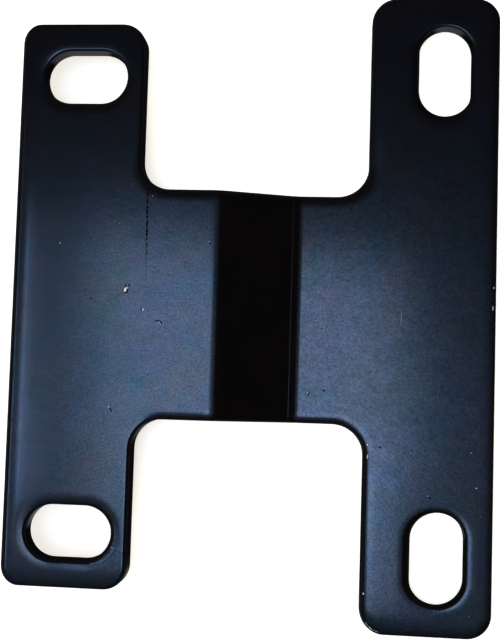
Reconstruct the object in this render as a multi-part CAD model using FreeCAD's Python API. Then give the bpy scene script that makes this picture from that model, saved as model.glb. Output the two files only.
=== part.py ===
"""Front fairing bracket: one flat steel plate, punched out to an H with two unlike arms and
pressed into a shallow step (a joggle) down the middle of its web.

Frame, in millimetres: +X runs across the width from the left arm to the right arm, +Y runs along
the arms and +Z points out of the front face. The origin is under the middle of the web, in the
plane of the right panel's back face.
"""
import FreeCAD, Part
import math
import os

# Overall plate
width = 100.0                # left edge of the left arm to right edge of the right arm
thickness = 4.0              # sheet thickness
web_height = 47.5            # height of the web that joins the two arms

# Arms, both centred on the web
left_arm_width = 26.5
left_arm_length = 117.0
right_arm_width = 26.5
right_arm_length = 132.0

# Corners of the outline
left_outer_corner = 4.0      # rounding of the left arm's two outer corners
left_inner_corner = 5.0      # rounding of the left arm's two inner corners
right_outer_corner = 5.0
right_inner_corner = 5.0
left_notch_radius = 6.0      # where the web runs into the left arm
right_notch_radius = 6.5     # where the web runs into the right arm

# Joggle: the left panel stands proud of the right one, and the web slopes down between them
joggle_start = 41.1          # left edge of the plate to the start of the first bend
joggle_run = 19.25           # start of the first bend to the end of the second one
joggle_rise = 6.0            # how far the left panel is raised
first_bend_radius = 6.0      # inside radius of the bend beside the left panel
second_bend_radius = 8.0     # inside radius of the bend beside the right panel

# Bolt slots: the left pair runs across the arm, the right pair along it
slot_width = 11.0            # clears an M10 bolt
left_slot_length = 17.5
left_slot_inset = 14.0       # left edge of the plate to the slots' middle
left_slot_from_end = 11.25   # end of the left arm to the slot's middle
right_slot_length = 19.0
right_slot_inset = 11.0      # right edge of the plate to the slots' middle
right_slot_from_end = 15.5   # end of the right arm to the slot's middle

# Edges left by the punch: rolled over on the front, a light burr break on the back
rim_roll = 1.6
back_break = 0.3

# The tools that trim the sheet reach this far past it
overrun = 5.0

left_edge = -width / 2
right_edge = width / 2
up = FreeCAD.Vector(0, 0, 1)


def rounded_wire(corners):
    """A closed wire through (x, y, radius) corners, each rounded by an arc tangent to its sides."""
    arcs = []
    for i, (x, y, radius) in enumerate(corners):
        corner = FreeCAD.Vector(x, y, 0)
        before = FreeCAD.Vector(*corners[i - 1][:2], 0)
        after = FreeCAD.Vector(*corners[(i + 1) % len(corners)][:2], 0)
        back = (before - corner).normalize()
        ahead = (after - corner).normalize()
        half_angle = back.getAngle(ahead) / 2
        inward = (back + ahead).normalize()
        reach = radius / math.tan(half_angle)
        nearest = corner + inward * (radius / math.sin(half_angle) - radius)
        arcs.append((corner + back * reach, nearest, corner + ahead * reach))
    edges = []
    for i, (start, middle, end) in enumerate(arcs):
        edges.append(Part.Arc(start, middle, end).toShape())
        edges.append(Part.LineSegment(end, arcs[(i + 1) % len(arcs)][0]).toShape())
    return Part.Wire(edges)


def outline_prism(bottom, top):
    """The H outline of the punched blank, as an upright prism."""
    left_inner = left_edge + left_arm_width
    right_inner = right_edge - right_arm_width
    upper = [
        (left_edge, left_arm_length / 2, left_outer_corner),
        (left_inner, left_arm_length / 2, left_inner_corner),
        (left_inner, web_height / 2, left_notch_radius),
        (right_inner, web_height / 2, right_notch_radius),
        (right_inner, right_arm_length / 2, right_inner_corner),
        (right_edge, right_arm_length / 2, right_outer_corner),
    ]
    lower = [(x, -y, radius) for x, y, radius in reversed(upper)]
    face = Part.Face(rounded_wire(upper + lower))
    face.translate(up * bottom)
    return face.extrude(up * (top - bottom))


def joggle_side(first_radius, second_radius, level):
    """One side of the sheet's edge-on profile: two flats joined by the two bends and the slope.

    level is the height of the side over the right panel, and the two radii are those of the bends
    on this side of the sheet. Returns the curves from left to right.
    """
    # the slope's angle and length follow from the run, the rise and the two bends
    both = first_radius + second_radius
    slope_length = math.sqrt(joggle_run**2 + joggle_rise**2 - 2 * both * joggle_rise)
    angle = math.atan2(joggle_run, both - joggle_rise) - math.atan2(slope_length, both)

    def point(x, z):
        return FreeCAD.Vector(x, 0, z)

    start = left_edge + joggle_start
    end = start + joggle_run
    high = level + joggle_rise

    def first_bend(turn):
        return point(
            start + first_radius * math.sin(turn),
            high - first_radius * (1 - math.cos(turn)),
        )

    def second_bend(turn):
        return point(
            end - second_radius * math.sin(turn),
            level + second_radius * (1 - math.cos(turn)),
        )

    return [
        Part.LineSegment(point(left_edge - overrun, high), first_bend(0)),
        Part.Arc(first_bend(0), first_bend(angle / 2), first_bend(angle)),
        Part.LineSegment(first_bend(angle), second_bend(angle)),
        Part.Arc(second_bend(angle), second_bend(angle / 2), second_bend(0)),
        Part.LineSegment(second_bend(0), point(right_edge + overrun, level)),
    ]


def joggled_sheet(length):
    """The bent sheet before it is trimmed to the outline: its edge-on profile drawn out along Y."""
    # the first bend folds away from the front and the second one towards it, so they take the
    # sheet's thickness on opposite sides
    front = joggle_side(first_bend_radius + thickness, second_bend_radius, thickness)
    back = joggle_side(first_bend_radius, second_bend_radius + thickness, 0)
    ends = [
        Part.LineSegment(front[0].StartPoint, back[0].StartPoint),
        Part.LineSegment(front[-1].EndPoint, back[-1].EndPoint),
    ]
    edges = [curve.toShape() for curve in front + back + ends]
    profile = Part.Face(Part.Wire(Part.sortEdges(edges)[0]))
    profile.translate(FreeCAD.Vector(0, -length / 2, 0))
    return profile.extrude(FreeCAD.Vector(0, length, 0))


def slot_cutter(centre_x, centre_y, length, along_y, bottom, top):
    """An upright punch with round ends, one slot's length long."""
    half_straight = (length - slot_width) / 2
    radius = slot_width / 2
    left_end = FreeCAD.Vector(-half_straight, 0, 0)
    right_end = FreeCAD.Vector(half_straight, 0, 0)
    side = FreeCAD.Vector(0, radius, 0)
    tip = FreeCAD.Vector(radius, 0, 0)
    wire = Part.Wire([
        Part.LineSegment(left_end + side, right_end + side).toShape(),
        Part.Arc(right_end + side, right_end + tip, right_end - side).toShape(),
        Part.LineSegment(right_end - side, left_end - side).toShape(),
        Part.Arc(left_end - side, left_end - tip, left_end + side).toShape(),
    ])
    punch = Part.Face(wire).extrude(up * (top - bottom))
    if along_y:
        punch.rotate(FreeCAD.Vector(0, 0, 0), up, 90)
    punch.translate(FreeCAD.Vector(centre_x, centre_y, bottom))
    return punch


def facing(face):
    """How far a face looks up: 1 for the front of a flat panel, 0 for a punched wall, -1 for a back."""
    u_low, u_high, v_low, v_high = face.ParameterRange
    return face.normalAt((u_low + u_high) / 2, (v_low + v_high) / 2).z


def punched_edges(plate, front):
    """The edges where the punched walls meet the plate's front, or its back."""
    chosen = []
    for edge in plate.Edges:
        views = [facing(face) for face in plate.ancestorsOfType(edge, Part.Face)]
        meets_wall = any(abs(view) < 0.1 for view in views)
        meets_side = any(view > 0.5 if front else view < -0.5 for view in views)
        if meets_wall and meets_side:
            chosen.append(edge)
    return chosen


def bracket_plate():
    """The whole bracket: bend the sheet, trim it to the outline, punch the slots, soften the rims."""
    bottom = -overrun
    top = joggle_rise + thickness + overrun
    sheet = joggled_sheet(max(left_arm_length, right_arm_length) + 2 * overrun)
    plate = sheet.common(outline_prism(bottom, top))
    left_x = left_edge + left_slot_inset
    left_y = left_arm_length / 2 - left_slot_from_end
    right_x = right_edge - right_slot_inset
    right_y = right_arm_length / 2 - right_slot_from_end
    for side in (-1, 1):
        plate = plate.cut(slot_cutter(left_x, side * left_y, left_slot_length, False, bottom, top))
        plate = plate.cut(slot_cutter(right_x, side * right_y, right_slot_length, True, bottom, top))
    plate = plate.makeFillet(min(rim_roll, 0.4 * thickness), punched_edges(plate, front=True))
    plate = plate.makeChamfer(min(back_break, 0.2 * thickness), punched_edges(plate, front=False))
    return plate.Solids[0]


os.makedirs("parts", exist_ok=True)
plate = bracket_plate()
plate.exportStep("parts/bracket_plate.step")
print("bracket_plate", round(plate.Volume / 1000, 2), "cm3", plate.isValid(), plate.BoundBox)
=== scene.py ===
"""The looks of the front fairing bracket: a black painted steel plate with a stepped web, lying on
its back on a pale floor and seen from straight above, as it would be photographed on a bench.
"""
import bmesh
import bpy
import math
from mathutils import Matrix, Vector
from mathutils.geometry import delaunay_2d_cdt, tessellate_polygon


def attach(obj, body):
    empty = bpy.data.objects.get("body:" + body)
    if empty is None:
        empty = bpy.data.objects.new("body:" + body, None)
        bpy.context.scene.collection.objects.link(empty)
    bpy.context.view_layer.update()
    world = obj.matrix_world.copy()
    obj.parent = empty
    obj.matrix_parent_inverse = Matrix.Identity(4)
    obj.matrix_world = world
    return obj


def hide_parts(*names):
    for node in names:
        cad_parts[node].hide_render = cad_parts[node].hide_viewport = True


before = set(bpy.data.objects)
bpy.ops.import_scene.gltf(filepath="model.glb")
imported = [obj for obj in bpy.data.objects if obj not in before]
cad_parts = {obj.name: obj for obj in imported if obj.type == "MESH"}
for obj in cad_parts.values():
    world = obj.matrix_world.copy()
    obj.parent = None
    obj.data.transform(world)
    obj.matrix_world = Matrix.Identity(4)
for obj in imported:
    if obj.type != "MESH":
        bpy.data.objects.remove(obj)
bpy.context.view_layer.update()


# The plate: 4 mm steel sheet, punched to an H and pressed into a step across its web. The punch
# draws the sheet's front down along every rim: a tight round at the wall, then a shallow shoulder
# that runs out a few millimetres in, each side in its own way. Sizes here are in millimetres.
MM = 0.001
thickness = 4.0
burr_break = 0.3
half_width = 50
left_half_length, right_half_length = 58.5, 66
arm_edge = 23.5
web_edge = 23.75
slot_width = 11
left_slot_x, left_slot_y, left_slot_length = -36, 47.25, 17.5
right_slot_x, right_slot_y, right_slot_length = 39, 50.5, 19

# the step, and the fine line that the die's edge leaves across it: where it is, how high, how far
# it spreads to its left, and how much further to its right
rise = 6.0
step_start, step_end = -8.9, 10.35
first_bend, second_bend = 6.0, 8.0
die_line = 8.15
line_height = 0.058
line_before, line_after = 0.17, 0.46

# the mesh has rows along each rim: close together over the tight round, then evenly spaced
widest_round = 1.6
widest_rows = 3.6
row_gap = 0.2
corner_steps = 12
round_steps = 14

# the outline's corners: x, y and radius
upper_half = [
    (-half_width, left_half_length, 4),
    (-arm_edge, left_half_length, 5),
    (-arm_edge, web_edge, 6),
    (arm_edge, web_edge, 6.5),
    (arm_edge, right_half_length, 5),
    (half_width, right_half_length, 5),
]
outline = upper_half + [(x, -y, radius) for x, y, radius in reversed(upper_half)]


def slot_corners(x, y, length, height):
    """The four corners of a slot, walked the other way round from the outline."""
    radius = min(length, height) / 2
    left, right = x - length / 2, x + length / 2
    low, high = y - height / 2, y + height / 2
    return [(left, low, radius), (right, low, radius), (right, high, radius), (left, high, radius)]


# the shape of each rim's sides in the order of the walk, starting after the first corner: radius of
# the tight round, depth of the shoulder, how far in the shoulder reaches
outline_sides = [
    (0.5, 0.05, 3.6), (0.42, 0.44, 3.2), (0.6, 0.40, 2.9), (0.7, 0.57, 3.85),
    (0.6, 0.02, 2.0), (0.37, 0.08, 4.2), (0.4, 0.30, 5.0), (1.3, 0.30, 3.0),
    (0.4, 0.40, 2.75), (1.1, 0.01, 2.2), (0.48, 0.29, 4.9), (1.2, 0.28, 4.5),
]
upper_left_sides = [(0.8, 0.45, 3.0), (0.55, 0.18, 2.0), (0.45, 0.12, 2.5), (0.5, 0.26, 3.0)]
lower_left_sides = [(0.75, 0.32, 2.5), (0.9, 0.42, 2.8), (0.4, 0.32, 3.3), (0.95, 0.22, 4.0)]
upper_right_sides = [(0.5, 0.28, 4.2), (0.45, 0.22, 2.1), (0.4, 0.03, 2.6), (0.68, 0.24, 4.6)]
lower_right_sides = [(0.4, 0.16, 1.9), (0.75, 0.14, 2.9), (0.38, 0.31, 2.05), (0.63, 0.39, 2.9)]
rims = [
    (outline, outline_sides),
    (slot_corners(left_slot_x, left_slot_y, left_slot_length, slot_width), upper_left_sides),
    (slot_corners(left_slot_x, -left_slot_y, left_slot_length, slot_width), lower_left_sides),
    (slot_corners(right_slot_x, right_slot_y, slot_width, right_slot_length), upper_right_sides),
    (slot_corners(right_slot_x, -right_slot_y, slot_width, right_slot_length), lower_right_sides),
]


def rim_arcs(corners, inset):
    """The corner arcs of a rounded outline moved into the sheet: middle, the two ways along the
    sides, and radius.
    """
    arcs = []
    for i, (x, y, radius) in enumerate(corners):
        corner = Vector((x, y))
        back = (Vector(corners[i - 1][:2]) - corner).normalized()
        ahead = (Vector(corners[(i + 1) % len(corners)][:2]) - corner).normalized()
        hollow = back.cross(ahead) < 0
        reach = radius + inset if hollow else radius - inset
        arcs.append((corner + (back + ahead) * radius, back, ahead, reach))
    return arcs


def rim_points(corners, inset):
    """Points along a rounded outline moved into the sheet, the same number at every inset: so many
    round each corner, and a millimetre apart along the sides.
    """
    arcs = rim_arcs(corners, inset)
    points = []
    for i, (centre, back, ahead, reach) in enumerate(arcs):
        for step in range(corner_steps + 1):
            turn = math.radians(90) * step / corner_steps
            points.append(centre - (ahead * math.cos(turn) + back * math.sin(turn)) * reach)
        following, its_back, its_ahead, its_reach = arcs[(i + 1) % len(arcs)]
        start = points[-1]
        end = following - its_ahead * its_reach
        parts = round((following - centre).dot(ahead))
        for part in range(1, parts):
            points.append(start.lerp(end, part / parts))
    return points


def rim_distance(corners, place):
    """How far a place on the sheet is from a rim, and where along the rim that is: the number of
    the corner walked past, plus the share of a corner's turn that is still ahead, if any.
    """
    arcs = rim_arcs(corners, 0)
    nearest = (math.inf, 0)
    for i, (centre, back, ahead, reach) in enumerate(arcs):
        spoke = place - centre
        if spoke.dot(back) <= 0 and spoke.dot(ahead) <= 0:
            turned = math.atan2(-spoke.dot(back), -spoke.dot(ahead)) / math.radians(90)
            nearest = min(nearest, (abs(spoke.length - reach), i - 1 + turned))
        following, its_back, its_ahead, its_reach = arcs[(i + 1) % len(arcs)]
        start = centre - back * reach
        end = following - its_ahead * its_reach
        along = min(max((place - start).dot(ahead), 0), (end - start).length)
        nearest = min(nearest, ((start + ahead * along - place).length, i))
    return nearest


def side_shape(sides, along):
    """The shape of a rim where it has walked so far along: one side's, or two sides' blended."""
    before = math.floor(along)
    share = along - before
    share = share * share * (3 - 2 * share)
    one, other = sides[before], sides[(before + 1) % len(sides)]
    return [a + (b - a) * share for a, b in zip(one, other)]


def in_sheet(loops, place):
    """Whether a place is in the sheet: a line from it to the right crosses the rims an odd number
    of times.
    """
    x, y = place
    crossings = 0
    for loop in loops:
        for (x0, y0), (x1, y1) in zip(loop, loop[1:] + loop[:1]):
            if (y0 > y) != (y1 > y) and x < x0 + (y - y0) * (x1 - x0) / (y1 - y0):
                crossings += 1
    return crossings % 2 == 1


def drawn_height(place):
    """Height of the unbent sheet's front at a place near its rims."""
    height = thickness
    nearest = (math.inf, 0)
    for corners, sides in rims:
        distance, along = rim_distance(corners, place)
        tight, fall, reach = side_shape(sides, along)
        nearest = min(nearest, (distance, tight))
        if distance < reach:
            height -= fall * (1 - distance / reach) ** 3
    distance, tight = nearest
    left = max(tight - distance, 0)
    return height - tight + math.sqrt(tight**2 - left**2)


def front_places():
    """Where the front's mesh has its points inside the tight rounds: rows along each rim, then a
    grid a millimetre wide. Returns the rows that bound it, then the other points.
    """
    off_row = 0.01
    rows_apart = 0.05
    grid_apart = 0.4
    bounds = [rim_points(corners, widest_round) for corners, sides in rims]
    inner = []
    for corners, sides in rims:
        others = [other for other, its_sides in rims if other is not corners]
        for row in range(1, round((widest_rows - widest_round) / row_gap) + 1):
            inset = widest_round + row_gap * row
            for point in rim_points(corners, inset):
                if abs(rim_distance(corners, point)[0] - inset) > off_row:
                    continue
                if all(rim_distance(other, point)[0] > inset + rows_apart for other in others):
                    inner.append(point)
    sharp = [[corner[:2] for corner in corners] for corners, sides in rims]
    margin = widest_rows + grid_apart
    for column in range(-half_width, half_width + 1):
        for row in range(-right_half_length, right_half_length + 1):
            place = Vector((column, row))
            clear = all(rim_distance(corners, place)[0] > margin for corners, sides in rims)
            if clear and in_sheet(sharp, place):
                inner.append(place)
    return bounds, inner


def flat_plate():
    """The punched sheet before it is pressed: rims laid row by row, both sides filled in, and the
    whole cut across where the press will bend it.
    """
    form = bmesh.new()
    backs = []
    for corners, sides in rims:
        rows = []
        for inset, height in ((burr_break, 0), (0, burr_break)):
            rows.append([form.verts.new((*point, height)) for point in rim_points(corners, inset)])
        for step in range(round_steps + 1):
            inset = widest_round * (1 - math.cos(math.radians(90) * step / round_steps))
            row = [(*point, drawn_height(point)) for point in rim_points(corners, inset)]
            rows.append([form.verts.new(place) for place in row])
        for lower, upper in zip(rows, rows[1:]):
            for i in range(len(lower)):
                form.faces.new((lower[i - 1], lower[i], upper[i], upper[i - 1]))
        backs.append(rows[0])
    verts = [vert for row in backs for vert in row]
    for triangle in tessellate_polygon([[vert.co for vert in row] for row in backs]):
        form.faces.new([verts[i] for i in triangle])

    # the front is filled with triangles inside its bounding rows
    bounds, inner = front_places()
    places = []
    walls = []
    for row in bounds:
        walls += [(len(places) + i, len(places) + (i + 1) % len(row)) for i in range(len(row))]
        places += row
    inside_walls = 1
    same_place = 0.0001
    filled = delaunay_2d_cdt(places + inner, walls, [], inside_walls, same_place)
    joined, triangles, sources = filled[0], filled[2], filled[3]
    verts = [form.verts.new((*place, drawn_height(place))) for place in joined]
    for triangle in triangles:
        if all(min(sources[i]) < len(places) for i in triangle):
            if not in_sheet(bounds, sum((joined[i] for i in triangle), Vector((0, 0))) / 3):
                continue
        form.faces.new([verts[i] for i in triangle])
    bmesh.ops.remove_doubles(form, verts=form.verts, dist=0.001)

    # evenly over the step, and closely at the die's line
    step_cuts = 48
    line_cuts = 7
    line_cut_gap = 0.07
    cuts = [step_start + (step_end - step_start) * i / step_cuts for i in range(step_cuts + 1)]
    cuts += [die_line + line_cut_gap * i for i in range(-line_cuts, line_cuts + 1)]
    for x in cuts:
        everything = list(form.verts) + list(form.edges) + list(form.faces)
        bmesh.ops.bisect_plane(
            form, geom=everything, dist=0.00001, plane_co=(x, 0, 0), plane_no=(1, 0, 0)
        )
    bmesh.ops.recalc_face_normals(form, faces=form.faces)
    for face in form.faces:
        face.smooth = True
    mesh = bpy.data.meshes.new("flat_plate")
    form.to_mesh(mesh)
    form.free()
    return mesh


def worked_out(tree, operation, *values):
    """What a maths node makes of sockets or numbers."""
    node = tree.nodes.new("ShaderNodeMath")
    node.operation = operation
    for socket, value in zip(node.inputs, values):
        if isinstance(value, (int, float)):
            socket.default_value = value
        else:
            tree.links.new(value, socket)
    return node.outputs["Value"]


def sheet_side():
    """A node group: how high one side of the stepped sheet lies at a place across it. From left to
    right it runs level, round the first bend, down the slope, round the second bend and level.
    """
    group = bpy.data.node_groups.new("sheet_side", "GeometryNodeTree")
    sizes = ("Across", "High", "Step Start", "Step End", "Turn", "First Radius", "Second Radius")
    for name in sizes:
        group.interface.new_socket(name, in_out="INPUT", socket_type="NodeSocketFloat")
    group.interface.new_socket("Height", in_out="OUTPUT", socket_type="NodeSocketFloat")
    given = group.nodes.new("NodeGroupInput").outputs

    def maths(operation, *values):
        """A maths node of this group."""
        return worked_out(group, operation, *values)

    def held(value, most):
        """A value held between nothing and the most that it may be."""
        return maths("MINIMUM", maths("MAXIMUM", value, 0), most)

    def bend_fall(radius, way):
        """How far a bend falls over this way from where it is level."""
        rest = maths("SUBTRACT", maths("MULTIPLY", radius, radius), maths("MULTIPLY", way, way))
        return maths("SUBTRACT", radius, maths("SQRT", rest))

    into_step = maths("SUBTRACT", given["Across"], given["Step Start"])
    to_end = maths("SUBTRACT", given["Step End"], given["Across"])
    first_run = maths("MULTIPLY", given["First Radius"], maths("SINE", given["Turn"]))
    second_run = maths("MULTIPLY", given["Second Radius"], maths("SINE", given["Turn"]))
    whole_run = maths("SUBTRACT", given["Step End"], given["Step Start"])
    slope_run = maths("SUBTRACT", whole_run, maths("ADD", first_run, second_run))
    first_fall = bend_fall(given["First Radius"], held(into_step, first_run))
    down_slope = held(maths("SUBTRACT", into_step, first_run), slope_run)
    slope_fall = maths("MULTIPLY", down_slope, maths("TANGENT", given["Turn"]))
    still_to_fall = bend_fall(given["Second Radius"], held(to_end, second_run))
    second_fall = maths("SUBTRACT", bend_fall(given["Second Radius"], second_run), still_to_fall)
    fall = maths("ADD", maths("ADD", first_fall, slope_fall), second_fall)
    result = group.nodes.new("NodeGroupOutput")
    group.links.new(maths("SUBTRACT", given["High"], fall), result.inputs["Height"])
    return group


def step_press(sizes):
    """A geometry tree that presses the flat sheet into the step, raises the fine line that the edge
    of the die leaves in it, and paints it. Returns it with the sizes by its inputs' identifiers.
    """
    tree = bpy.data.node_groups.new("step_press", "GeometryNodeTree")
    tree.interface.new_socket("Sheet", in_out="INPUT", socket_type="NodeSocketGeometry")
    by_identifier = {}
    for name, value in sizes.items():
        kind = "NodeSocketFloat" if isinstance(value, (int, float)) else "NodeSocketMaterial"
        socket = tree.interface.new_socket(name, in_out="INPUT", socket_type=kind)
        by_identifier[socket.identifier] = value
    tree.interface.new_socket("Plate", in_out="OUTPUT", socket_type="NodeSocketGeometry")
    link = tree.links.new
    given = tree.nodes.new("NodeGroupInput").outputs
    place = tree.nodes.new("GeometryNodeInputPosition")
    split = tree.nodes.new("ShaderNodeSeparateXYZ")
    link(place.outputs["Position"], split.inputs["Vector"])
    side_group = sheet_side()

    def maths(operation, *values):
        """A maths node of this tree."""
        return worked_out(tree, operation, *values)

    def side(high, first_radius, second_radius):
        """The height of one side of the sheet."""
        node = tree.nodes.new("GeometryNodeGroup")
        node.node_tree = side_group
        link(split.outputs["X"], node.inputs["Across"])
        link(high, node.inputs["High"])
        for name in ("Step Start", "Step End", "Turn"):
            link(given[name], node.inputs[name])
        link(first_radius, node.inputs["First Radius"])
        link(second_radius, node.inputs["Second Radius"])
        return node.outputs["Height"]

    # the first bend folds away from the front and the second one towards it
    thick = given["Thickness"]
    outer_first = maths("ADD", given["First Bend"], thick)
    outer_second = maths("ADD", given["Second Bend"], thick)
    back = side(given["Rise"], given["First Bend"], outer_second)
    front = side(maths("ADD", given["Rise"], thick), outer_first, given["Second Bend"])

    # the die's line is a bell in section
    past_line = maths("SUBTRACT", split.outputs["X"], given["Die Line"])
    after = maths("GREATER_THAN", past_line, 0)
    spread = maths("ADD", given["Line Before"], maths("MULTIPLY", after, given["Line After"]))
    share = maths("DIVIDE", past_line, spread)
    bell = maths("EXPONENT", maths("MULTIPLY", maths("MULTIPLY", share, share), -0.5))
    front = maths("ADD", front, maths("MULTIPLY", bell, given["Line Height"]))

    up_sheet = maths("DIVIDE", split.outputs["Z"], thick)
    height = maths("ADD", back, maths("MULTIPLY", maths("SUBTRACT", front, back), up_sheet))
    pressed = tree.nodes.new("ShaderNodeCombineXYZ")
    link(split.outputs["X"], pressed.inputs["X"])
    link(split.outputs["Y"], pressed.inputs["Y"])
    link(height, pressed.inputs["Z"])
    press = tree.nodes.new("GeometryNodeSetPosition")
    link(given["Sheet"], press.inputs["Geometry"])
    link(pressed.outputs["Vector"], press.inputs["Position"])
    real = tree.nodes.new("GeometryNodeRealizeInstances")
    link(press.outputs["Geometry"], real.inputs["Geometry"])
    coat = tree.nodes.new("GeometryNodeSetMaterial")
    link(real.outputs["Geometry"], coat.inputs["Geometry"])
    link(given["Paint"], coat.inputs["Material"])
    result = tree.nodes.new("NodeGroupOutput")
    link(coat.outputs["Geometry"], result.inputs["Plate"])
    return tree, by_identifier


# The paint: one sprayed coat, dried to a semi-gloss skin with fine orange peel and a cloudy sheen.
# Handling has nicked it: pale spots where it has chipped to the bare sheet, dark ones where it is
# pitted, and a dotted scratch down from the upper notch. Places and sizes are in millimetres.
bare_spots = [
    # middle x and y, half length, half width, turn in degrees
    (-25.94, 2.6, 0.36, 0.19, 80), (-25.64, 2.95, 0.16, 0.10, 20), (-22.08, -1.43, 0.20, 0.10, 85),
    (-18.5, -4.15, 0.30, 0.035, -38), (-17.85, -4.5, 0.07, 0.05, 0),
    (-28.45, -21.5, 0.20, 0.045, -52), (-40.04, 12.02, 0.10, 0.06, 90),
    (-8.8, 12.85, 0.07, 0.035, 0), (-28.6, 16.5, 0.10, 0.02, 10),
    (-27.6, 16.3, 0.06, 0.02, -10), (-20.9, 22.2, 0.06, 0.02, 30), (-20.3, 22.6, 0.05, 0.02, 0),
    (11.85, -17.4, 0.16, 0.02, 70), (25.1, -12.95, 0.10, 0.03, 0), (15.51, -9.62, 0.05, 0.04, 0),
    (30.75, -1.4, 1.40, 0.010, 90), (24.5, -30.1, 0.42, 0.06, 88), (24.45, -27.7, 0.12, 0.05, 88),
    (45.4, -28.58, 0.09, 0.07, 0), (46.59, -35.67, 0.10, 0.08, 60), (36.9, -37.65, 0.06, 0.035, 0),
    (24.3, -57.86, 0.20, 0.11, 88), (25.1, -63.9, 0.45, 0.02, -52),
    (25.95, -64.7, 0.50, 0.045, -38), (27.0, -65.2, 0.60, 0.02, -19), (38.6, -60.5, 0.05, 0.03, 20),
    (45.55, -61.35, 0.14, 0.012, 40), (49.35, 1.0, 0.40, 0.07, 90), (49.45, 5.2, 0.20, 0.05, 90),
    (-26.6, -49.95, 0.12, 0.03, -40), (-24.55, -50.25, 0.10, 0.04, 30),
    (-25.6, -53.9, 0.08, 0.03, 20), (47.54, -41.27, 0.04, 0.02, 0),
]
dark_spots = [
    (-25.9, 3.5, 0.22, 0.17, 0), (-25.1, 3.55, 0.28, 0.16, 50), (-25.4, 2.35, 0.50, 0.13, 75),
    (-25.85, 2.02, 0.32, 0.11, 0), (-22.42, -1.35, 0.34, 0.12, 85), (-19.1, -3.6, 0.60, 0.12, 8),
    (-18.2, -3.95, 0.42, 0.15, -55), (-28.0, -22.05, 0.46, 0.13, -55),
    (-8.6, 12.45, 0.34, 0.15, 80), (-32.95, 0.66, 0.24, 0.13, 40),
    (-13.63, 8.5, 0.20, 0.10, 90), (-13.7, 7.4, 0.14, 0.07, 90),
    (-19.99, 7.41, 0.15, 0.13, 0), (-16.77, 5.83, 0.13, 0.11, 0), (-33.74, 13.28, 0.15, 0.12, 0),
    (15.29, -16.86, 0.22, 0.19, 0), (12.1, -17.7, 0.50, 0.11, 70), (24.7, -12.75, 0.34, 0.09, 15),
    (14.41, -4.05, 0.16, 0.10, 30), (17.58, 6.68, 0.30, 0.08, -20), (19.76, 6.2, 0.20, 0.08, -10),
    (27.03, -28.15, 0.24, 0.21, 0), (37.35, -38.0, 0.26, 0.12, -30),
    (-24.35, -51.0, 0.20, 0.09, 60), (-36.6, -4.6, 0.12, 0.08, 30),
    (-20.5, -14.5, 0.12, 0.08, 0), (33.5, 12.4, 0.18, 0.08, -30),
]
scratch_line = (-21.87, 15.0, 10.5, 0.20, 91)


def ranged(tree, value, start, end, at_start=0, at_end=1, easing="LINEAR"):
    """A value that goes from at_start to at_end while another goes from start to end."""
    node = tree.nodes.new("ShaderNodeMapRange")
    node.interpolation_type = easing
    node.inputs["From Min"].default_value = start
    node.inputs["From Max"].default_value = end
    node.inputs["To Min"].default_value = at_start
    node.inputs["To Max"].default_value = at_end
    tree.links.new(value, node.inputs["Value"])
    return node.outputs["Result"]


def spot_group():
    """A node group: how much of a place an oval spot with soft edges covers, from 0 to 1."""
    group = bpy.data.node_groups.new("paint_spot", "ShaderNodeTree")
    for name in ("Place", "Middle", "Half Size"):
        group.interface.new_socket(name, in_out="INPUT", socket_type="NodeSocketVector")
    group.interface.new_socket("Turn", in_out="INPUT", socket_type="NodeSocketFloat")
    group.interface.new_socket("Cover", in_out="OUTPUT", socket_type="NodeSocketFloat")
    nodes = group.nodes
    link = group.links.new
    given = nodes.new("NodeGroupInput")
    spin = nodes.new("ShaderNodeVectorRotate")
    spin.rotation_type = "Z_AXIS"
    spin.invert = True
    link(given.outputs["Place"], spin.inputs["Vector"])
    link(given.outputs["Middle"], spin.inputs["Center"])
    link(given.outputs["Turn"], spin.inputs["Angle"])
    away = nodes.new("ShaderNodeVectorMath")
    away.operation = "SUBTRACT"
    link(spin.outputs["Vector"], away.inputs[0])
    link(given.outputs["Middle"], away.inputs[1])
    share = nodes.new("ShaderNodeVectorMath")
    share.operation = "DIVIDE"
    link(away.outputs["Vector"], share.inputs[0])
    link(given.outputs["Half Size"], share.inputs[1])
    reach = nodes.new("ShaderNodeVectorMath")
    reach.operation = "LENGTH"
    link(share.outputs["Vector"], reach.inputs[0])
    none_past, whole_within = 1.35, 0.75
    cover = ranged(group, reach.outputs["Value"], none_past, whole_within, easing="SMOOTHSTEP")
    result = nodes.new("NodeGroupOutput")
    link(cover, result.inputs["Cover"])
    return group


def all_spots(tree, place, group, spots):
    """The spots of one kind joined into one cover."""
    total = None
    for x, y, long, wide, turn in spots:
        spot = tree.nodes.new("ShaderNodeGroup")
        spot.node_tree = group
        tree.links.new(place, spot.inputs["Place"])
        spot.inputs["Middle"].default_value = (x, y, 0)
        spot.inputs["Half Size"].default_value = (long, wide, 1)
        spot.inputs["Turn"].default_value = math.radians(turn)
        cover = spot.outputs["Cover"]
        total = cover if total is None else worked_out(tree, "MAXIMUM", total, cover)
    return total


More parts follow.
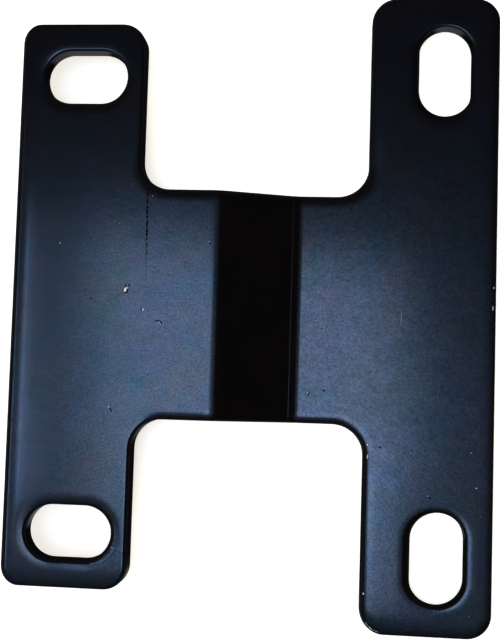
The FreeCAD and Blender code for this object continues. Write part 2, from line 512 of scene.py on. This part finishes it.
def black_paint():
    """Semi-gloss black paint over steel: orange peel, cloudy sheen, chips, pits and a scratch."""
    material = bpy.data.materials.new("black_paint")
    material.use_nodes = True
    tree = material.node_tree
    nodes = tree.nodes
    link = tree.links.new
    paint = nodes["Principled BSDF"]
    place = nodes.new("ShaderNodeTexCoord")

    def maths(operation, *values):
        """A maths node of this material."""
        return worked_out(tree, operation, *values)

    def cloud(scale, detail, rough):
        """Noise over the plate; scale counts its lumps in a metre."""
        node = nodes.new("ShaderNodeTexNoise")
        node.inputs["Scale"].default_value = scale
        node.inputs["Detail"].default_value = detail
        node.inputs["Roughness"].default_value = rough
        link(place.outputs["Object"], node.inputs["Vector"])
        return node

    # where the marks are, in millimetres over the flat, with ragged edges
    raggedness = 0.22
    flat = nodes.new("ShaderNodeVectorMath")
    flat.operation = "MULTIPLY"
    flat.inputs[1].default_value = (1 / MM, 1 / MM, 0)
    link(place.outputs["Object"], flat.inputs[0])
    ragged = nodes.new("ShaderNodeVectorMath")
    ragged.operation = "MULTIPLY_ADD"
    link(cloud(scale=4000, detail=1, rough=0.5).outputs["Color"], ragged.inputs[0])
    ragged.inputs[1].default_value = (raggedness, raggedness, 0)
    link(flat.outputs["Vector"], ragged.inputs[2])
    mark_place = nodes.new("ShaderNodeVectorMath")
    mark_place.operation = "SUBTRACT"
    link(ragged.outputs["Vector"], mark_place.inputs[0])
    mark_place.inputs[1].default_value = (raggedness / 2, raggedness / 2, 0)
    group = spot_group()
    bare = all_spots(tree, mark_place.outputs["Vector"], group, bare_spots)
    pits = all_spots(tree, mark_place.outputs["Vector"], group, dark_spots)
    scratch = all_spots(tree, mark_place.outputs["Vector"], group, [scratch_line])

    # only the front is marked: what lies above the middle of the sheet, which steps down with it
    step_reach = 5 * MM
    raised_middle, low_middle = (rise + thickness / 2) * MM, thickness / 2 * MM
    deep = nodes.new("ShaderNodeSeparateXYZ")
    link(place.outputs["Object"], deep.inputs["Vector"])
    middle = ranged(tree, deep.outputs["X"], -step_reach, step_reach, raised_middle, low_middle)
    front = maths("GREATER_THAN", deep.outputs["Z"], middle)

    # the scratch is broken into dots along its length, and fades out towards its lower end
    dots = nodes.new("ShaderNodeTexNoise")
    dots.noise_dimensions = "1D"
    dots.inputs["Scale"].default_value = 1.3
    dots.inputs["Detail"].default_value = 1
    split = nodes.new("ShaderNodeSeparateXYZ")
    link(flat.outputs["Vector"], split.inputs["Vector"])
    link(split.outputs["Y"], dots.inputs["W"])
    fade = ranged(tree, split.outputs["Y"], 6, 14, at_start=0.2)
    broken = ranged(tree, dots.outputs["Fac"], 0.44, 0.50, at_start=0.3)
    scratch = maths("MULTIPLY", scratch, maths("MULTIPLY", broken, fade))
    bare = maths("MULTIPLY", bare, front)
    pits = maths("MULTIPLY", maths("MAXIMUM", pits, scratch), front)

    # the coat's black and the colour of its sheen wander a little, and bare sheet is pale
    bare_sheet = (0.78, 0.79, 0.80, 1)
    mottle = cloud(scale=110, detail=3, rough=0.75)

    def mottled(spread, base):
        """A colour that wanders up from its base by up to its spread."""
        node = nodes.new("ShaderNodeVectorMath")
        node.operation = "MULTIPLY_ADD"
        link(mottle.outputs["Color"], node.inputs[0])
        node.inputs[1].default_value = spread
        node.inputs[2].default_value = base
        return node.outputs["Vector"]

    colour = nodes.new("ShaderNodeMix")
    colour.data_type = "RGBA"
    link(mottled((0.0022, 0.0005, 0.0010), (0.0008, 0.0011, 0.0009)), colour.inputs["A"])
    colour.inputs["B"].default_value = bare_sheet
    link(bare, colour.inputs["Factor"])
    link(colour.outputs["Result"], paint.inputs["Base Color"])
    # the sheen's blue tint is painted light: it stands in for part of the blue of the window's
    # light
    link(mottled((0.60, 0.14, 0.50), (0.225, 0.597, 0.61)), paint.inputs["Specular Tint"])

    # the sheen is cloudy and grainy all over, a pit mirrors nothing, and bare sheet is dull
    full_gloss = 2.4
    coat_roughness, bare_roughness = 0.145, 0.5
    broad = cloud(scale=330, detail=4, rough=0.9)
    fine = cloud(scale=2600, detail=1, rough=0.6)
    sheen = maths("MULTIPLY_ADD", broad.outputs["Fac"], 0.42, 0.29)
    grain = maths("MULTIPLY_ADD", fine.outputs["Fac"], 0.7, 0.15)
    gloss = maths("MULTIPLY", maths("MULTIPLY", sheen, grain), maths("SUBTRACT", 1, pits))
    link(maths("MULTIPLY", gloss, full_gloss), paint.inputs["Specular IOR Level"])
    link(ranged(tree, bare, 0, 1, coat_roughness, bare_roughness), paint.inputs["Roughness"])

    # orange peel
    bump = nodes.new("ShaderNodeBump")
    bump.inputs["Strength"].default_value = 0.25
    bump.inputs["Distance"].default_value = 0.02 * MM
    link(cloud(scale=900, detail=2, rough=0.5).outputs["Fac"], bump.inputs["Height"])
    link(bump.outputs["Normal"], paint.inputs["Normal"])
    return material


# how far the bends turn follows from the run and the rise of the step and from the bends
run = step_end - step_start
both_radii = first_bend + second_bend + thickness
slope_length = math.sqrt(run**2 + rise**2 - 2 * both_radii * rise)
bend_turn = math.atan2(run, both_radii - rise) - math.atan2(slope_length, both_radii)

plate = bpy.data.objects.new("plate", flat_plate())
bpy.context.collection.objects.link(plate)
press_tree, press_sizes = step_press({
    "Thickness": thickness, "Rise": rise, "Step Start": step_start, "Step End": step_end,
    "Turn": bend_turn, "First Bend": first_bend, "Second Bend": second_bend,
    "Die Line": die_line, "Line Height": line_height, "Line Before": line_before,
    "Line After": line_after, "Paint": black_paint(),
})
press = plate.modifiers.new("step_press", "NODES")
press.node_group = press_tree
for identifier, value in press_sizes.items():
    press[identifier] = value
pressed = plate.evaluated_get(bpy.context.evaluated_depsgraph_get())
plate_mesh = bpy.data.meshes.new_from_object(pressed)
plate.modifiers.remove(press)
plate_mesh.transform(Matrix.Scale(MM, 4))
plate_mesh.set_sharp_from_angle(angle=math.radians(30))
plate.data = plate_mesh
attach(plate, "root")
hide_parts("bracket_plate")


# The floor: a wide matt white board that the plate lies on and throws its shadow on. It glows a
# little, to the camera alone, so that it shows as bare white ground and lights nothing. It lies a
# hair below the plate's back, because two faces in one plane would flicker.
floor_reach = 3.0
floor_level = -0.05 * MM
floor_glow = 0.55


def pale_floor():
    """A matt white floor that shows to the camera as a bare white ground."""
    material = bpy.data.materials.new("pale_floor")
    material.use_nodes = True
    tree = material.node_tree
    shader = tree.nodes["Principled BSDF"]
    shader.inputs["Base Color"].default_value = (0.9, 0.9, 0.9, 1)
    shader.inputs["Roughness"].default_value = 0.9
    shader.inputs["Specular IOR Level"].default_value = 0.1
    shader.inputs["Emission Color"].default_value = (1, 1, 1, 1)
    rays = tree.nodes.new("ShaderNodeLightPath")
    glow = worked_out(tree, "MULTIPLY", rays.outputs["Is Camera Ray"], floor_glow)
    tree.links.new(glow, shader.inputs["Emission Strength"])
    return material


floor_mesh = bpy.data.meshes.new("floor")
floor_corners = [
    (-floor_reach, -floor_reach, floor_level), (floor_reach, -floor_reach, floor_level),
    (floor_reach, floor_reach, floor_level), (-floor_reach, floor_reach, floor_level),
]
floor_mesh.from_pydata(floor_corners, [], [(0, 1, 2, 3)])
floor_mesh.materials.append(pale_floor())
floor = bpy.data.objects.new("floor", floor_mesh)
bpy.context.collection.objects.link(floor)
floor.visible_glossy = False


# The light: a tall window overhead, which the gloss of the paint mirrors pane by pane, a dim
# ceiling round it, and soft fill that lights the floor and shows in no reflection. The sheets
# stop at the same line on the right, past which the step's slope mirrors only the dark room.
window_colour = (0.6, 0.75, 1.0)
ceiling_colour = (1, 0.66, 0.70)
ceiling_glow = 0.08
fill_colour = (1, 0.87, 0.62)

# each pane: radiance, softness of its edges, and its left, right, low and high side; a side is
# (across, along, edge) and lets light through where across * x + along * y > edge, in metres
window_panes = [
    (4.52, 0.04, [(1, 0.04, -0.282), (-1, -0.10, -0.090), (-0.32, 1, -0.143), (-0.12, -1, -0.132)]),
    (5.19, 0.005, [(1, -0.13, -0.094), (-1, -0.05, -0.070), (0.02, 1, -0.274), (0.27, -1, 0.112)]),
    (3.20, 0.028, [(1, 0.19, -0.074), (-1, 0.18, 0.005), (-0.02, 1, -0.646), (0.10, -1, 0.266)]),
    (12.76, 0.004, [(1, 0, -0.413), (-1, -0.04, 0.390), (0.05, 1, -0.192), (0.01, -1, -0.184)]),
    (6.71, 0.023, [(1, -0.09, -0.666), (-1, -0.02, 0.63), (-0.01, 1, -0.296), (-0.14, -1, -0.243)]),
    (0.10, 0.030, [(1, 0, -1.500), (-1, 0, -0.250), (0, 1, -1.300), (0, -1, -0.800)]),
    (0.78, 0.314, [(1, 0.12, -0.738), (-1, -0.93, -0.441), (0.06, 1, -0.422), (0.05, -1, -0.116)]),
]


def stage_sheet(name, reach, height, material):
    """A level sheet that faces down, from (left, low) to (right, high), which no camera sees."""
    left, low, right, high = reach
    mesh = bpy.data.meshes.new(name)
    corners = [
        (left, high, height), (right, high, height), (right, low, height), (left, low, height)
    ]
    mesh.from_pydata(corners, [], [(0, 1, 2, 3)])
    mesh.materials.append(material)
    sheet = bpy.data.objects.new(name, mesh)
    sheet.visible_camera = False
    bpy.context.collection.objects.link(sheet)


def window_light(panes, colour):
    """Emission through panes."""
    material = bpy.data.materials.new("window_light")
    material.use_nodes = True
    tree = material.node_tree
    nodes = tree.nodes
    link = tree.links.new
    nodes.remove(nodes["Principled BSDF"])
    place = nodes.new("ShaderNodeTexCoord")
    total = None
    for radiance, soft, sides in panes:
        light = None
        for across, along, edge in sides:
            way = nodes.new("ShaderNodeVectorMath")
            way.operation = "DOT_PRODUCT"
            way.inputs[1].default_value = (across, along, 0)
            link(place.outputs["Object"], way.inputs[0])
            most = radiance if light is None else 1
            side = ranged(
                tree, way.outputs["Value"], edge - soft, edge + soft, 0, most, "SMOOTHSTEP"
            )
            light = side if light is None else worked_out(tree, "MULTIPLY", light, side)
        total = light if total is None else worked_out(tree, "ADD", total, light)
    glow = nodes.new("ShaderNodeEmission")
    glow.inputs["Color"].default_value = (*colour, 1)
    link(total, glow.inputs["Strength"])
    link(glow.outputs["Emission"], nodes["Material Output"].inputs["Surface"])
    return material


def ceiling_light(colour):
    """The faint light of a pale ceiling."""
    material = bpy.data.materials.new("ceiling_light")
    material.use_nodes = True
    shader = material.node_tree.nodes["Principled BSDF"]
    shader.inputs["Base Color"].default_value = (0, 0, 0, 1)
    shader.inputs["Specular IOR Level"].default_value = 0
    shader.inputs["Emission Color"].default_value = (*colour, 1)
    shader.inputs["Emission Strength"].default_value = ceiling_glow
    return material


def soft_box(name, place, aim, size, radiance, colour):
    """A rectangular lamp of the given radiance, turned towards a point, that no gloss mirrors."""
    lamp = bpy.data.lights.new(name, "AREA")
    lamp.shape = "RECTANGLE"
    lamp.size, lamp.size_y = size
    lamp.energy = radiance * math.pi * size[0] * size[1]
    lamp.color = colour
    box = bpy.data.objects.new(name, lamp)
    turn = (Vector(aim) - Vector(place)).to_track_quat("-Z", "Y")
    box.matrix_world = Matrix.Translation(place) @ turn.to_matrix().to_4x4()
    box.visible_glossy = False
    bpy.context.collection.objects.link(box)


stage_sheet("window", (-1.2, -1.0, 0.25, 0.5), 1.0, window_light(window_panes, window_colour))
stage_sheet("ceiling", (-1.6, -1.4, 0.25, 1.4), 1.1, ceiling_light(ceiling_colour))
soft_box("fill", (0, 0, 0.9), (0, 0, 0), size=(3, 3), radiance=1.0, colour=fill_colour)


# The room: what the walls of the slots and the rims mirror past the window. It is dim low down and
# darker overhead, and the bench below the horizon is dark but for its bright near side. The camera
# sees plain white there instead.
world = bpy.data.worlds.new("studio")
bpy.context.scene.world = world
world.use_nodes = True
room = world.node_tree
rays = room.nodes.new("ShaderNodeLightPath")
look = room.nodes.new("ShaderNodeTexCoord")
split = room.nodes.new("ShaderNodeSeparateXYZ")
room.links.new(look.outputs["Generated"], split.inputs["Vector"])
walls = ranged(room, split.outputs["Z"], 0.3, 0.7, at_start=0.14, at_end=0.015)
bench = ranged(room, split.outputs["Y"], -0.18, -0.32, at_start=0.01, at_end=0.3)
above = ranged(room, split.outputs["Z"], -0.5, -0.2)
round_about = room.nodes.new("ShaderNodeMix")
room.links.new(above, round_about.inputs["Factor"])
room.links.new(bench, round_about.inputs["A"])
room.links.new(walls, round_about.inputs["B"])
seen = room.nodes.new("ShaderNodeMix")
room.links.new(rays.outputs["Is Camera Ray"], seen.inputs["Factor"])
room.links.new(round_about.outputs["Result"], seen.inputs["A"])
seen.inputs["B"].default_value = 1.0
background = room.nodes["Background"]
room.links.new(seen.outputs["Result"], background.inputs["Strength"])
background.inputs["Color"].default_value = (1, 1, 1, 1)


# The camera: a phone held close above the plate, a little to the right of its middle and not quite
# level. Its place, its turn and its lens are those that fit the plate's outline and slots best.
camera_place = Vector((18.6, -15.4, 211.73)) * MM
camera_turn = (3.663, 5.148, 1.759)
image_height = 640
focal_length = 1000
sensor = 36.0

camera_data = bpy.data.cameras.new("camera")
camera_data.sensor_fit = "VERTICAL"
camera_data.sensor_height = sensor
camera_data.lens = sensor * focal_length / image_height
camera_data.clip_start = 0.01
camera = bpy.data.objects.new("camera", camera_data)
camera.location = camera_place
camera.rotation_euler = [math.radians(turn) for turn in camera_turn]
bpy.context.collection.objects.link(camera)
bpy.context.scene.camera = camera
bpy.context.scene.view_settings.view_transform = "Standard"
